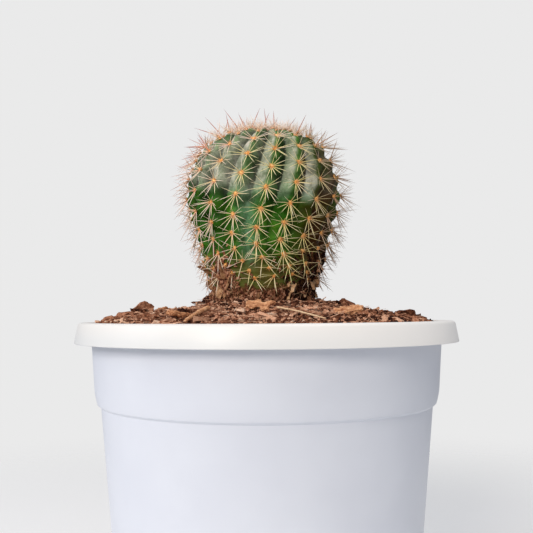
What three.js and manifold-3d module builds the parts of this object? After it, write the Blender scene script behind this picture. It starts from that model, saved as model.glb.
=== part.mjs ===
// A round ribbed cactus standing in bark potting mix in a flared white plastic pot.
// Millimetres, +Z up. The origin is the middle of the pot's foot, on the surface that it stands on.
// The front, where the cactus's rib number 0 faces, is towards -Y. Azimuths are degrees from there,
// positive towards +X. "Along" is the distance along a rib's crest from the crown downwards.
import * as THREE from "three";
import { mergeVertices } from "three/addons/utils/BufferGeometryUtils.js";
import Module from "manifold-3d";

const wasm = await Module();
wasm.setup();

const { clamp, degToRad, lerp, mapLinear, smoothstep } = THREE.MathUtils;
const gap = 0.3; // clearance between pieces that rest on each other

// Pot: one moulding, 151 mm across its rim.
const potHeight = 130;
const footRadius = 58.1; // outside of the wall where it meets the foot
const footWidth = 7; // foot ring that the pot stands on
const footLift = 2; // height of the floor above the surface, inside the ring
const stepHeight = 97.7; // the ledge between the lower wall and the bulge
const stepRadius = 65.5;
const bulgeHeight = stepHeight + 3.8; // where the bulge's round shoulder ends
const bulgeRadius = 67.8;
const neckRadius = 69.2; // outside of the wall under the rim
const rimTopRadius = 73.9;
const rimRadius = 75.5; // lower edge of the rim's skirt
const rimDrop = 7.9; // height of the skirt
const wall = 1.6;
const potFloor = footLift + 2; // top of the floor
const potSides = 48;
const drainHoles = 6;
const drainRadius = 4;
const drainCircle = 36;

// Potting mix: a mound that rises from the rim to the cactus.
const mixEdge = potHeight - 0.6; // height at the pot's wall
const moundRise = 8.6; // height at the cactus, above the rim
const moundTopRadius = 20;
const moundPower = 0.85;
const mixSides = 48;
const mixRings = 12;
const lumpHeight = 0.55; // of the mix's waves
const crumbHeight = 0.9; // of its random ups and downs
const crumbShift = 1.4;
const mixBits = 22; // bark bits half sunk in the mound
// Clods that stand out of the mound, and a hollow, each with its middle, radius and height.
const clods = [
  { x: -49.8, y: -3, radius: 4.2, height: 3.1 },
  { x: -56, y: 0, radius: 4, height: 2.2 },
  { x: -33, y: -2, radius: 8, height: -1.2 },
  { x: -30, y: 34, radius: 5, height: 2.2 },
  { x: 20, y: 46, radius: 4.5, height: 2.4 },
  { x: 27, y: 8, radius: 5, height: 0.7 },
  { x: -23.5, y: -3, radius: 4.2, height: 3.4 },
  { x: -9, y: -23, radius: 3.6, height: 1.4 },
  { x: 10, y: -23.5, radius: 4, height: 1.1 },
  { x: 20, y: -15, radius: 3.5, height: 1.3 },
  { x: -16, y: 18, radius: 4, height: 1.6 },
  { x: 5, y: 24, radius: 5, height: 1.6 },
  { x: 33, y: -4, radius: 4, height: 1.4 },
  { x: 44, y: 30, radius: 5, height: 1.6 },
  { x: 56.5, y: 2, radius: 4, height: 2.3 },
  { x: 62.5, y: -1, radius: 3, height: 1.2 },
];

// Cactus: a globe that narrows to a corky neck, with a root below the mix.
const plantX = -0.9; // the plant stands a little left of the pot's middle
const plantFoot = potHeight + moundRise; // height at which the neck leaves the mix
const ribs = 18;
const frontRib = 0.5; // azimuth of rib number 0 at mid length
// Crest radius and height above the mix, from the crown to the neck.
const crestProfile = [
  [0, 67.4],
  [9, 67.1],
  [17, 65],
  [23.6, 60.8],
  [27.9, 54],
  [30.3, 46.6],
  [30.7, 39],
  [28.6, 31],
  [26.2, 22.5],
  [24.2, 15],
  [22.2, 8],
  [20.8, 0],
];
const rootProfile = [
  [19.2, -6],
  [14, -14],
  [7, -23],
  [0, -30],
];
const columnsPerRib = 4;
const furrowDepth = 3;
const notchDepth = 1.2; // of the dent across the rib above each areole
const chinOffset = 0.12; // the bump stands out most this share of a spacing below its areole
const crownDip = 1.3;

// Areoles, the pads that the spines grow from: they crowd at the crown and at the neck, so the
// distance along the crest follows an S-curve of the areole's number.
const areoleSteepness = 0.35;
const areoleShift = -0.58;
// Each rib's areoles sit this share of a spacing higher than those of the rib on its left.
const divergence = 5 / ribs;
const firstAreole = 9;
const crownEnd = 24; // spines above this stand up, one to an areole
const neckStart = 66; // areoles below this crowd above the neck
const lastAreole = 83.5;

// Spines: straight needles, rooted inside the body.
const spineLength = 7;
const spineRadius = 0.3; // at the root
const spineSunk = 1.2;
const spineSpread = 0.95; // an areole's spines leave the skin this far from its middle
const spineTilt = 34; // degrees off the surface
const ringAngles = [48, 132, 228, 312]; // degrees round the areole from straight down
const neckAngles = [110, 250]; // the areoles at the neck keep only these
const crownTilt = 70;

// A seeded random draw from low to high.
function drawFrom(seed) {
  let state = seed;
  return (low, high) => {
    state = (state + 0x6d2b79f5) | 0;
    let mixed = Math.imul(state ^ (state >>> 15), 1 | state);
    mixed = (mixed + Math.imul(mixed ^ (mixed >>> 7), 61 | mixed)) ^ mixed;
    return low + ((high - low) * ((mixed ^ (mixed >>> 14)) >>> 0)) / 2 ** 32;
  };
}

// A geometry that keeps only its positions, with vertices that coincide made one.
function welded(geometry) {
  const bare = geometry.clone();
  bare.deleteAttribute("normal");
  bare.deleteAttribute("uv");
  return mergeVertices(bare, 1e-4);
}

// A closed geometry as a solid for joining and cutting.
function solid(geometry) {
  const merged = welded(geometry);
  return new wasm.Manifold(
    new wasm.Mesh({
      numProp: 3,
      vertProperties: new Float32Array(merged.attributes.position.array),
      triVerts: new Uint32Array(merged.index.array),
    }),
  );
}

function geometryOf(body) {
  const mesh = body.getMesh();
  const positions = new Float32Array(mesh.numVert * 3);
  for (let i = 0; i < mesh.numVert; i++) {
    positions.set(mesh.vertProperties.subarray(i * mesh.numProp, i * mesh.numProp + 3), i * 3);
  }
  const geometry = new THREE.BufferGeometry();
  geometry.setAttribute("position", new THREE.BufferAttribute(positions, 3));
  geometry.setIndex(new THREE.BufferAttribute(mesh.triVerts, 1));
  geometry.computeVertexNormals();
  return geometry;
}

// The largest of a solid's separate bodies, so that a crumb that a cut leaves is dropped.
function largestBody(body) {
  return body.decompose().sort((a, b) => b.volume() - a.volume())[0];
}

// A profile of [radius, height] pairs, from the bottom up, turned about +Z.
function turned(profile, sides) {
  const points = profile.map(([radius, height]) => new THREE.Vector2(radius, height));
  return new THREE.LatheGeometry(points, sides).rotateX(Math.PI / 2);
}

// Moves every vertex of a geometry by move(vertex).
function reshaped(geometry, move) {
  const merged = welded(geometry);
  const position = merged.attributes.position;
  const vertex = new THREE.Vector3();
  for (let i = 0; i < position.count; i++) {
    vertex.fromBufferAttribute(position, i);
    move(vertex);
    position.setXYZ(i, vertex.x, vertex.y, vertex.z);
  }
  return merged;
}

// Inner radius of the pot at a height, for the pot and for the mix that fills it.
function innerRadius(height) {
  if (height <= stepHeight) {
    return mapLinear(height, footLift, stepHeight, footRadius, stepRadius) - wall;
  }
  if (height <= bulgeHeight) {
    return mapLinear(height, stepHeight, bulgeHeight, stepRadius, bulgeRadius) - wall;
  }
  return mapLinear(height, bulgeHeight, potHeight, bulgeRadius, neckRadius) - wall;
}

function makePot() {
  const underRim = potHeight - wall;
  const skirtFoot = potHeight - rimDrop;
  const edge = 1.1; // size of the small chamfers
  const profile = [
    [0, footLift],
    [footRadius - footWidth - edge, footLift],
    [footRadius - footWidth, 0],
    [footRadius - edge, 0],
    [footRadius, edge],
    [stepRadius, stepHeight],
    [stepRadius + 1.3, stepHeight + 0.8],
    [bulgeRadius, bulgeHeight],
    [neckRadius, underRim],
    [rimTopRadius - wall, underRim],
    [rimRadius - wall, skirtFoot],
    [rimRadius, skirtFoot],
    [rimTopRadius + 0.2, potHeight - edge],
    [rimTopRadius - edge, potHeight],
    [innerRadius(potHeight) + edge, potHeight],
    [innerRadius(potHeight - edge), potHeight - edge],
    [innerRadius(bulgeHeight), bulgeHeight],
    [innerRadius(stepHeight), stepHeight],
    [innerRadius(potFloor + edge), potFloor + edge],
    [innerRadius(potFloor) - edge, potFloor],
    [0, potFloor],
  ];
  let pot = solid(turned(profile, potSides));
  for (let i = 0; i <= drainHoles; i++) {
    const turn = (i / drainHoles) * Math.PI * 2;
    const out = i === drainHoles ? 0 : drainCircle; // the last one is in the middle
    const drill = new THREE.CylinderGeometry(drainRadius, drainRadius, 4 * potFloor, 12);
    drill.rotateX(Math.PI / 2).translate(out * Math.sin(turn), -out * Math.cos(turn), potFloor);
    pot = pot.subtract(solid(drill));
  }
  return pot;
}

// Height of the mix at a place on its top, before its small relief.
function moundHeight(x, y) {
  const edge = innerRadius(potHeight);
  const share = clamp((edge - Math.hypot(x, y)) / (edge - moundTopRadius), 0, 1);
  let height = lerp(mixEdge, plantFoot, share ** moundPower);
  for (const clod of clods) {
    const away = Math.hypot(x - clod.x, y - clod.y) / clod.radius;
    height += clod.height * Math.exp(-away * away);
  }
  return height;
}

// The mix's small lumps, between about -1 and 1: two sets of crossed waves.
function lumps(x, y) {
  const broad = Math.sin(x * 0.83 + 1.3) * Math.cos(y * 0.71 - 0.4);
  const fine = Math.sin(x * 1.57 - y * 0.62) * Math.cos(y * 1.31 + x * 0.4 + 2);
  return broad + 0.7 * fine;
}

function makeMix(socket) {
  const draw = drawFrom(11);
  const bottom = potFloor + gap;
  const shoulder = potHeight - 1.6; // the mix's top starts above this
  const atWall = [bottom + 2, stepHeight + 0.5, bulgeHeight + 0.5];
  const topRadii = Array.from({ length: mixRings }, (_, i) => lerp(65.2, 12, i / (mixRings - 1)));
  const profile = [
    [0, bottom],
    [innerRadius(bottom) - 5 * gap, bottom],
    ...atWall.map((height) => [innerRadius(height) - gap, height]),
    [innerRadius(shoulder) - 2 * gap, shoulder],
    ...topRadii.map((radius) => [radius, potHeight]),
    [0, potHeight],
  ];
  const bed = reshaped(turned(profile, mixSides), (vertex) => {
    if (vertex.z > shoulder + gap) {
      vertex.x += draw(-crumbShift, crumbShift) / 2;
      vertex.y += draw(-crumbShift, crumbShift) / 2;
      vertex.z = moundHeight(vertex.x, vertex.y) + lumpHeight * lumps(vertex.x, vertex.y);
      vertex.z += draw(-crumbHeight, crumbHeight) / 2;
    }
  });
  let mix = solid(bed);

  // Bark bits, spread evenly by the golden angle, each turned its own way.
  const goldenAngle = Math.PI * (3 - Math.sqrt(5));
  for (let i = 0; i < mixBits; i++) {
    const radius = lerp(27, 62, Math.sqrt((i + 0.5) / mixBits));
    const turn = i * goldenAngle + draw(0, 0.5);
    const x = plantX + radius * Math.sin(turn);
    const y = -radius * Math.cos(turn);
    const bit = new THREE.BoxGeometry(draw(3, 7), draw(2, 4), draw(1.4, 2.4));
    bit.rotateX(draw(-0.45, 0.45)).rotateY(draw(-0.45, 0.45)).rotateZ(draw(0, Math.PI));
    bit.translate(x, y, moundHeight(x, y) + 0.5);
    mix = mix.add(solid(bit));
  }
  return largestBody(mix.subtract(socket));
}

const crest = new THREE.SplineCurve(crestProfile.map((point) => new THREE.Vector2(...point)));
crest.arcLengthDivisions = 600;
const crestLength = crest.getLength();

// The crest at a distance along it: its radius and height, and its outward normal's two shares.
function crestAt(along) {
  const share = clamp(along / crestLength, 0, 1);
  const point = crest.getPointAt(share);
  const tangent = crest.getTangentAt(share);
  return { radius: Math.max(point.x, 0), height: point.y, out: -tangent.y, up: tangent.x };
}

// Degrees that the ribs have turned: they lean one way, and swing back at the neck.
function ribTwist(along) {
  const lean = 0.5 * (50 - along);
  const back = 4.2 * Math.log(1 + Math.exp((along - 68.5) / 2));
  return lean + back;
}

// An areole's number at a distance along its crest, and the other way round.
function areoleNumber(along) {
  const share = clamp(along / crestLength, 0.01, 0.99);
  return (Math.log(share / (1 - share)) - areoleShift) / areoleSteepness;
}

function areoleAlong(number) {
  return crestLength / (1 + Math.exp(-areoleSteepness * number - areoleShift));
}

// How deep the skin lies under the crest line: furrows between ribs, and a notch above each areole.
// A rib place is a rib's number, with its share of the way to the next rib.
function reliefDepth(ribPlace, along) {
  const rib = Math.round(ribPlace);
  const ridge = 1 - Math.abs(2 * (ribPlace - rib)) ** 1.8;
  const number = areoleNumber(along) + divergence * rib - chinOffset;
  const notch = 0.5 - 0.5 * Math.cos(2 * Math.PI * number);
  const grown = smoothstep(along, 1, 26);
  const withered = 1 - 0.75 * smoothstep(along, 50, crestLength - 3);
  const fade = 1 - smoothstep(along, crestLength - 7, crestLength - 0.5);
  return grown * withered * fade * (furrowDepth * (1 - ridge) + notchDepth * ridge * notch);
}

// A point at a depth under the crest line, with the directions out of, up and across the skin.
function onPlant(azimuth, along, depth) {
  const at = crestAt(along);
  const turn = degToRad(azimuth);
  const side = new THREE.Vector3(Math.sin(turn), -Math.cos(turn), 0);
  const right = new THREE.Vector3(Math.cos(turn), Math.sin(turn), 0);
  const out = side.clone().multiplyScalar(at.out);
  out.z = at.up;
  out.normalize();
  const up = new THREE.Vector3().crossVectors(out, right);
  const dip = crownDip * Math.exp(-((along / 7) ** 2));
  const point = side.multiplyScalar(at.radius).addScaledVector(out, -depth);
  point.x += plantX;
  point.z += plantFoot + at.height - dip;
  return { point, out, up, right };
}

// How far a rib's areoles are shifted from the nearest whole number of spacings.
function ribShift(rib) {
  return divergence * rib - Math.round(divergence * rib);
}

// The body's rows: one on each areole's bump and one in its notch, with fewer at both ends.
function bodyRows() {
  const rows = [0, 4.2];
  for (let number = -4.5; number < 7; number += 0.5) {
    rows.push(areoleAlong(number + chinOffset));
  }
  return [...rows, areoleAlong(7.6), areoleAlong(8.8), crestLength];
}

// The body is first turned with its distance along the crest as height, then wrapped into shape.
function makeBody() {
  const rows = bodyRows().map((along) => [crestAt(along).radius, along]);
  rows[0][0] = 0; // the crown closes on the axis
  const profile = [...rows, ...rootProfile].reverse();
  const wrapped = reshaped(turned(profile, ribs * columnsPerRib), (vertex) => {
    if (vertex.z < 0) {
      vertex.x += plantX;
      vertex.z += plantFoot;
      return;
    }
    // Each rib's rows slide along it to meet its own bumps, except at the crown and the neck.
    const ribPlace = (Math.atan2(vertex.x, -vertex.y) * ribs) / (2 * Math.PI);
    const rib = Math.floor(ribPlace);
    const free = smoothstep(vertex.z, 5, 15) * (1 - smoothstep(vertex.z, 72, 84));
    const shift = free * lerp(ribShift(rib), ribShift(rib + 1), ribPlace - rib);
    const along = shift ? areoleAlong(areoleNumber(vertex.z) - shift) : vertex.z;
    const azimuth = (ribPlace * 360) / ribs + frontRib + ribTwist(along);
    vertex.copy(onPlant(azimuth, along, reliefDepth(ribPlace, along)).point);
  });
  return solid(wrapped);
}

// A three-sided needle that leaves the skin at a point, with its root inside.
function needle(point, direction, length) {
  const whole = length + spineSunk;
  const shape = new THREE.ConeGeometry(spineRadius, whole, 3, 1);
  shape.translate(0, whole / 2 - spineSunk, 0);
  const turn = new THREE.Quaternion().setFromUnitVectors(new THREE.Vector3(0, 1, 0), direction);
  shape.applyQuaternion(turn).translate(point.x, point.y, point.z);
  return solid(shape);
}

// A direction at a place on the plant: degrees round from straight down, and degrees off the skin.
function spineDirection(place, round, tilt) {
  const direction = place.up.clone().multiplyScalar(-Math.cos(degToRad(round)));
  direction.addScaledVector(place.right, Math.sin(degToRad(round)));
  direction.multiplyScalar(Math.cos(degToRad(tilt)));
  return direction.addScaledVector(place.out, Math.sin(degToRad(tilt))).normalize();
}

function areolePlaces() {
  const places = [];
  for (let rib = 0; rib < ribs; rib++) {
    for (let number = -12; number < 14; number++) {
      const along = areoleAlong(number - ribShift(rib));
      if (along > firstAreole && along < lastAreole) {
        places.push({ along, azimuth: (rib * 360) / ribs + frontRib + ribTwist(along) });
      }
    }
  }
  return places;
}

function makeSpines() {
  const draw = drawFrom(5);
  const spines = [];
  for (const { along, azimuth } of areolePlaces()) {
    const place = onPlant(azimuth, along, 0.25);
    if (along < crownEnd) {
      const direction = spineDirection(place, draw(150, 210), draw(crownTilt - 8, crownTilt + 8));
      const length = spineLength * draw(0.75, 1.15) * lerp(0.6, 1, along / crownEnd);
      spines.push(needle(place.point, direction, length));
      continue;
    }
    const reach = spineLength * (1 - 0.35 * smoothstep(along, 70, lastAreole));
    for (const angle of along < neckStart ? ringAngles : neckAngles) {
      const round = draw(angle - 8, angle + 8);
      const tilt = draw(spineTilt - 4, spineTilt + 4);
      const start = place.point.clone().addScaledVector(spineDirection(place, round, 0), spineSpread);
      spines.push(needle(start, spineDirection(place, round, tilt), reach * draw(0.85, 1.15)));
    }
  }
  return spines;
}

// The plain hole that the neck and the root stand in, a little wider all round.
function makeSocket() {
  const clear = gap + 0.05;
  const neck = crestProfile.at(-1)[0];
  const rootHole = rootProfile.map(([radius, height]) => [radius && radius + clear, height]);
  rootHole.at(-1)[1] -= clear;
  const mouth = [
    [neck + clear, 0],
    [neck + 3.4, 12],
    [0, 12],
  ];
  const hole = turned([...rootHole.reverse(), ...mouth], 36);
  return solid(hole.translate(plantX, 0, plantFoot));
}

// Trims a piece that lies on the mix to the mix's own surface, with a gap on every side.
function laidOn(mix, geometry) {
  let piece = solid(geometry);
  for (let axis = 0; axis < 3; axis++) {
    for (const shift of [gap, -gap]) {
      piece = piece.subtract(mix.translate([0, 1, 2].map((i) => (i === axis ? shift : 0))));
    }
  }
  return largestBody(piece);
}

// Loose bits of bark. Each has its outline, thickness, middle, turns in degrees, and lift above the
// mound's mean height.
const forked = [
  [-5, -1.5],
  [-2.6, -2.9],
  [-0.4, -1.2],
  [1.4, -4.2],
  [3.6, -3.4],
  [3.1, -0.3],
  [5.2, 2.6],
  [2.9, 3.3],
  [0.4, 1.6],
  [-1.6, 3.1],
  [-5.4, 2.7],
];
const slab = [
  [-5.6, -1.6],
  [-1.2, -3],
  [3.8, -2.1],
  [5.9, 0.2],
  [4.1, 2.6],
  [-0.8, 2.9],
  [-4.6, 1.5],
];
const barkBits = {
  bark_forked_front: { outline: forked, thick: 1.3, x: -2, y: -40, turns: [26, 4, -12], lift: 0.9 },
  bark_slab_right: { outline: slab, thick: 1.8, x: 29, y: -37, turns: [20, -9, 12], lift: 0 },
  bark_slab_left: { outline: slab, thick: 1.5, x: -30, y: -47, turns: [6, 6, 60], lift: 0.8 },
  bark_slab_back_right: { outline: slab, thick: 1.6, x: 34, y: 33, turns: [-10, -8, 140], lift: 1.4 },
  bark_forked_back: { outline: forked, thick: 1.4, x: -12, y: 43, turns: [-8, 0, 200], lift: 1.4 },
  bark_slab_back_left: { outline: slab, thick: 1.7, x: -44, y: 18, turns: [0, 6, 95], lift: 0.8 },
};

function makeBarkBit({ outline, thick, x, y, turns, lift }) {
  const shape = new THREE.Shape(outline.map((corner) => new THREE.Vector2(...corner)));
  const bit = new THREE.ExtrudeGeometry(shape, { depth: thick, bevelEnabled: false });
  bit.translate(0, 0, -thick / 2);
  bit.rotateX(degToRad(turns[0])).rotateY(degToRad(turns[1])).rotateZ(degToRad(turns[2]));
  return bit.translate(x, y, moundHeight(x, y) + lift);
}

// Thin stalks that lie along the mound between two places.
const stalks = {
  straw_front: { from: [3.8, -43.3], to: [19.2, -59.3], radius: 0.5, lift: 0.7 },
  straw_back: { from: [4, 31], to: [17, 53], radius: 0.55, lift: 0.8 },
  twig_left: { from: [-20.7, -37.7], to: [-26.5, -58.5], radius: 0.9, lift: 0.6 },
};
const stalkSides = 6;
const stalkSteps = 10;

function makeStalk({ from, to, radius, lift }) {
  const points = [];
  for (let share = 0; share <= 1; share += 0.2) {
    const x = lerp(from[0], to[0], share);
    const y = lerp(from[1], to[1], share) + 0.5 * Math.sin(5 * share); // a slight bend
    points.push(new THREE.Vector3(x, y, moundHeight(x, y) + lift));
  }
  const corners = Array.from({ length: stalkSides }, (_, i) => {
    const turn = (i / stalkSides) * Math.PI * 2;
    return new THREE.Vector2(radius * Math.cos(turn), radius * Math.sin(turn));
  });
  return new THREE.ExtrudeGeometry(new THREE.Shape(corners), {
    steps: stalkSteps,
    extrudePath: new THREE.CatmullRomCurve3(points),
    bevelEnabled: false,
  });
}

const plant = new THREE.Group();

function addNode(name, body, color, roughness) {
  const material = new THREE.MeshStandardMaterial({ color, roughness, metalness: 0 });
  const mesh = new THREE.Mesh(geometryOf(body), material);
  mesh.name = name;
  plant.add(mesh);
}

const mix = makeMix(makeSocket());
addNode("pot", makePot(), 0xe9eaf0, 0.25);
addNode("soil", mix, 0x5c3a28, 0.95);
addNode("cactus", largestBody(wasm.Manifold.union([makeBody(), ...makeSpines()])), 0x47752f, 0.5);
for (const [name, bit] of Object.entries(barkBits)) {
  addNode(name, laidOn(mix, makeBarkBit(bit)), 0x9a6a45, 0.9);
}
for (const [name, stalk] of Object.entries(stalks)) {
  addNode(name, laidOn(mix, makeStalk(stalk)), 0xa87c55, 0.9);
}

export default plant;
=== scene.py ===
# A potted round cactus: a young ribbed globe with fine spines, in bark potting mix, in a white
# plastic pot. Sizes are in millimetres, and mm turns them into metres.
import random
from math import cos, hypot, pi, radians, sin, sqrt

import bmesh
import bpy
import numpy as np
from mathutils import Matrix, Vector, noise


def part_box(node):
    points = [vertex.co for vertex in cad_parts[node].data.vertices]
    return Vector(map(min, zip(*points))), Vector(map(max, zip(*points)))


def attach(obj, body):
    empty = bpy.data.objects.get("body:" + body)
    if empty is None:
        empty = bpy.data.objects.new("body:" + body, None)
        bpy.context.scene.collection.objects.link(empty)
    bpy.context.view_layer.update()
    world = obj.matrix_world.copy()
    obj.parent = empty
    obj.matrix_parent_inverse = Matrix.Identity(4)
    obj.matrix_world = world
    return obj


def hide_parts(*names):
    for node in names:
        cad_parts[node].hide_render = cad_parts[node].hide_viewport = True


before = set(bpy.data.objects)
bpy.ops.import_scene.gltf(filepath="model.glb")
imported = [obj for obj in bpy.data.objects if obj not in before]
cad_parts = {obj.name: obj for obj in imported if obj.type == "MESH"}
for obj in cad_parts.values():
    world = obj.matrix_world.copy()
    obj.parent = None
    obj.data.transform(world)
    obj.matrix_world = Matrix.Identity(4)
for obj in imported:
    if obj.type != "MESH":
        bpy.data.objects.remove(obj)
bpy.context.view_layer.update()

mm = 0.001
noise.seed_set(4)  # without it, vector noise differs from run to run
scene = bpy.context.scene
scene.view_settings.view_transform = "Standard"
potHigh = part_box("pot")[1]
potTop = potHigh.z / mm
rimRadius = potHigh.x / mm
# Settings that many nodes share. A colour mix takes its share at 0, and its colours at 6 and 7.
colourMix = {"data_type": "RGBA"}
adding = {"operation": "ADD"}
multiplying = {"operation": "MULTIPLY"}


def linear(code):  # an sRGB hex value as a linear colour
    values = [int(code[i : i + 2], 16) / 255 for i in (1, 3, 5)]
    return [v / 12.92 if v <= 0.04045 else ((v + 0.055) / 1.055) ** 2.4 for v in values] + [1]


def smooth(value, low, high):
    share = np.clip((value - low) / (high - low), 0, 1)
    return share * share * (3 - 2 * share)


def setInputs(node, settings):
    for key, value in settings.items():
        node.inputs[key].default_value = linear(value) if isinstance(value, str) else value


def plug(tree, node, links):  # a node as the source stands for its first live output
    for key, source in links.items():
        if isinstance(source, bpy.types.Node):
            source = next(output for output in source.outputs if output.enabled)
        tree.links.new(source, node.inputs[key])


def addNode(tree, kind, settings={}, links={}):  # "stops" fills a colour ramp
    node = tree.nodes.new("ShaderNode" + kind)
    for key, value in settings.items():
        if key == "stops":
            while len(node.color_ramp.elements) < len(value):
                node.color_ramp.elements.new(0.5)
            for element, (place, colour) in zip(node.color_ramp.elements, value):
                element.position = place
                element.color = linear(colour)
        elif isinstance(key, str) and hasattr(node, key):
            setattr(node, key, value)
        else:
            setInputs(node, {key: value})
    plug(tree, node, links)
    return node


def startMaterial(name, finish, marks=()):
    # Besides the material, its tree and its shader, this gives what the nodes read: the place, its x
    # and z, the finish's noise patterns, and the marks that the piece's mesh carries.
    material = bpy.data.materials.new(name)
    material.use_nodes = True
    tree = material.node_tree
    shader = tree.nodes["Principled BSDF"]
    setInputs(shader, finish["surface"])
    place = addNode(tree, "TexCoord").outputs["Object"]
    axes = addNode(tree, "SeparateXYZ", {}, {0: place}).outputs
    read = {"place": place, "x": axes["X"], "z": axes["Z"]}
    for pattern, (width, detail, roughness) in finish.get("patterns", {}).items():
        settings = {"Scale": 1 / (width * mm), "Detail": detail, "Roughness": roughness}
        read[pattern] = addNode(tree, "TexNoise", settings, {"Vector": place})
    for mark in marks:
        read[mark] = addNode(tree, "Attribute", {"attribute_name": mark}).outputs["Fac"]
    return material, tree, shader, read


def axisDistance(tree, place):  # how far a place is from the pot's axis
    flat = addNode(tree, "VectorMath", {**multiplying, 1: (1, 1, 0)}, {0: place})
    return addNode(tree, "VectorMath", {"operation": "LENGTH"}, {0: flat})


def toMesh(name, bm):
    mesh = bpy.data.meshes.new(name)
    bm.to_mesh(mesh)
    bm.free()
    return mesh


def addObject(name, data):
    item = bpy.data.objects.new(name, data)
    scene.collection.objects.link(item)
    return item


def applyModifiers(helper):  # gives the finished shape, and removes the helper
    bpy.context.view_layer.update()
    bm = bmesh.new()
    bm.from_object(helper, bpy.context.evaluated_depsgraph_get())
    bpy.data.objects.remove(helper)
    return bm


def finishPiece(name, bm, material, nodes=(), crisp=False):
    mesh = toMesh(name, bm)
    if crisp:
        mesh.shade_flat()
    else:
        mesh.shade_smooth()
    mesh.materials.append(material)
    piece = addObject(name, mesh)
    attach(piece, "root")
    if nodes:
        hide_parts(*nodes)
    print(f"{name}: {sum(len(face.vertices) - 2 for face in mesh.polygons)} triangles")
    return piece


# Camera and studio

camera = {
    "distance": 300,  # in front of the pot's axis
    "aboveRim": 3.2,
    "lens": 50.1,
    "lift": 0.0878,  # the frame is shifted up this share of its width
    "roll": 0.35,
    "nearClip": 10,
}
lights = {  # azimuth from the front, positive to the right; elevation; distance; size; watts; colour
    "keyWindow": (-26, 22, 2000, 700, 21.2, "#fff6ea"),
    "leftWindow": (-76, 28, 1600, 900, 7.8, "#eef4ff"),
    "overhead": (25, 78, 1500, 1100, 3.6, "#f6f8ff"),
    "rightCard": (62, 70, 1700, 1000, 6.2, "#fff8ee"),
}
studio = {
    "backdrop": "#eaeaea",
    "ambient": "#f1f4fa",
    "ambientStrength": 0.41,
    "surface": {"Base Color": "#f4f4f4", "Roughness": 0.9},
    "floorRadius": 1200,
    "floorSides": 96,
    "fade": (200, 560),  # from here to here the floor fades out
}


def makeCamera():
    data = bpy.data.cameras.new("camera")
    data.lens = camera["lens"]
    data.shift_y = camera["lift"]
    data.clip_start = camera["nearClip"] * mm
    view = addObject("camera", data)
    view.location = (0, -camera["distance"] * mm, (potTop + camera["aboveRim"]) * mm)
    view.rotation_euler = (pi / 2, radians(camera["roll"]), 0)
    scene.camera = view


def makeLights():
    target = Vector((0, 0, potTop * mm))
    for name, (azimuth, elevation, distance, size, watts, colour) in lights.items():
        data = bpy.data.lights.new(name, "AREA")
        data.shape = "SQUARE"
        data.size = size * mm
        data.energy = watts
        data.color = linear(colour)[:3]
        lamp = addObject(name, data)
        turn, rise = radians(azimuth), radians(elevation)
        away = Vector((sin(turn) * cos(rise), -cos(turn) * cos(rise), sin(rise)))
        lamp.location = target + away * distance * mm
        lamp.rotation_euler = away.to_track_quat("Z", "Y").to_euler()


def makeWorld():  # the eye sees the pale backdrop; the object gets dim room light
    world = bpy.data.worlds.new("room")
    scene.world = world
    world.use_nodes = True
    tree = world.node_tree
    seen = addNode(tree, "Background", {"Color": studio["backdrop"]})
    dim = {"Color": studio["ambient"], "Strength": studio["ambientStrength"]}
    room = addNode(tree, "Background", dim)
    ray = addNode(tree, "LightPath").outputs["Is Camera Ray"]
    both = addNode(tree, "MixShader", {}, {0: ray, 1: room, 2: seen})
    plug(tree, tree.nodes["World Output"], {0: both})


def makeFloor():
    # Matt white card that fades out into the backdrop.
    bm = bmesh.new()
    radius = studio["floorRadius"] * mm
    bmesh.ops.create_circle(bm, cap_ends=True, segments=studio["floorSides"], radius=radius)
    floor = addObject("floor", toMesh("floor", bm))
    material, tree, shader, read = startMaterial("whiteCard", studio)
    low, high = studio["fade"]
    fading = {"From Min": low * mm, "From Max": high * mm, "interpolation_type": "SMOOTHSTEP"}
    fade = addNode(tree, "MapRange", fading, {"Value": axisDistance(tree, read["place"])})
    clear = addNode(tree, "BsdfTransparent")
    mixed = addNode(tree, "MixShader", {}, {0: fade, 1: shader, 2: clear})
    plug(tree, tree.nodes["Material Output"], {0: mixed})
    floor.data.materials.append(material)


makeCamera()
makeLights()
makeWorld()
makeFloor()
print("camera and studio made")


# Pot

pot = {
    "footRadius": 58.1,
    "footWidth": 7,
    "footLift": 2,  # of the floor over the table
    "floor": 4,
    "stepHeight": 97.7,
    "stepRadius": 65.5,
    "bulgeHeight": 101.5,
    "bulgeRadius": 67.8,
    "neckRadius": 69.2,
    "rimTopRadius": 73.9,
    "rimDrop": 7.9,
    "wall": 1.6,
    "sides": 192,
    "drainHoles": 6,  # and one in the middle
    "drainRadius": 4,
    "drainCircle": 36,
    "drainSides": 40,
    "snap": 0.02,  # how near its ring an edge lies that is rounded
    "sharpFrom": 40,  # degrees
}
plastic = {
    "surface": {"Roughness": 0.4, "IOR": 1.49, "Coat Weight": 0.05, "Coat Roughness": 0.2},
    "patterns": {  # width in mm, detail and roughness
        "cloud": (35.71, 3, 0.5),
        "swell": (22.22, 2, 0.5),
        "drift": (16.67, 2, 0.5),
        "grit": (1.4286, 4, 0.7),
        "grain": (0.6667, 2, 0.5),
    },
    "wall": [(0.3, "#d4d8e3"), (0.7, "#dbdfe9")],
    "rim": [(0, "#dfe0e0"), (1, "#e7e5e2")],
    # painted light: the rim's whiter tone on its far side
    "paintedRimLight": "#f8f6f4",
    "dust": "#c08a66",
    "gloss": (0.34, 0.5),
}


def innerRadius(height):  # of the pot's wall, at a height
    heights = [pot["footLift"], pot["stepHeight"], pot["bulgeHeight"], potTop]
    radii = [pot["footRadius"], pot["stepRadius"], pot["bulgeRadius"], pot["neckRadius"]]
    return np.interp(height, heights, radii) - pot["wall"]


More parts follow.
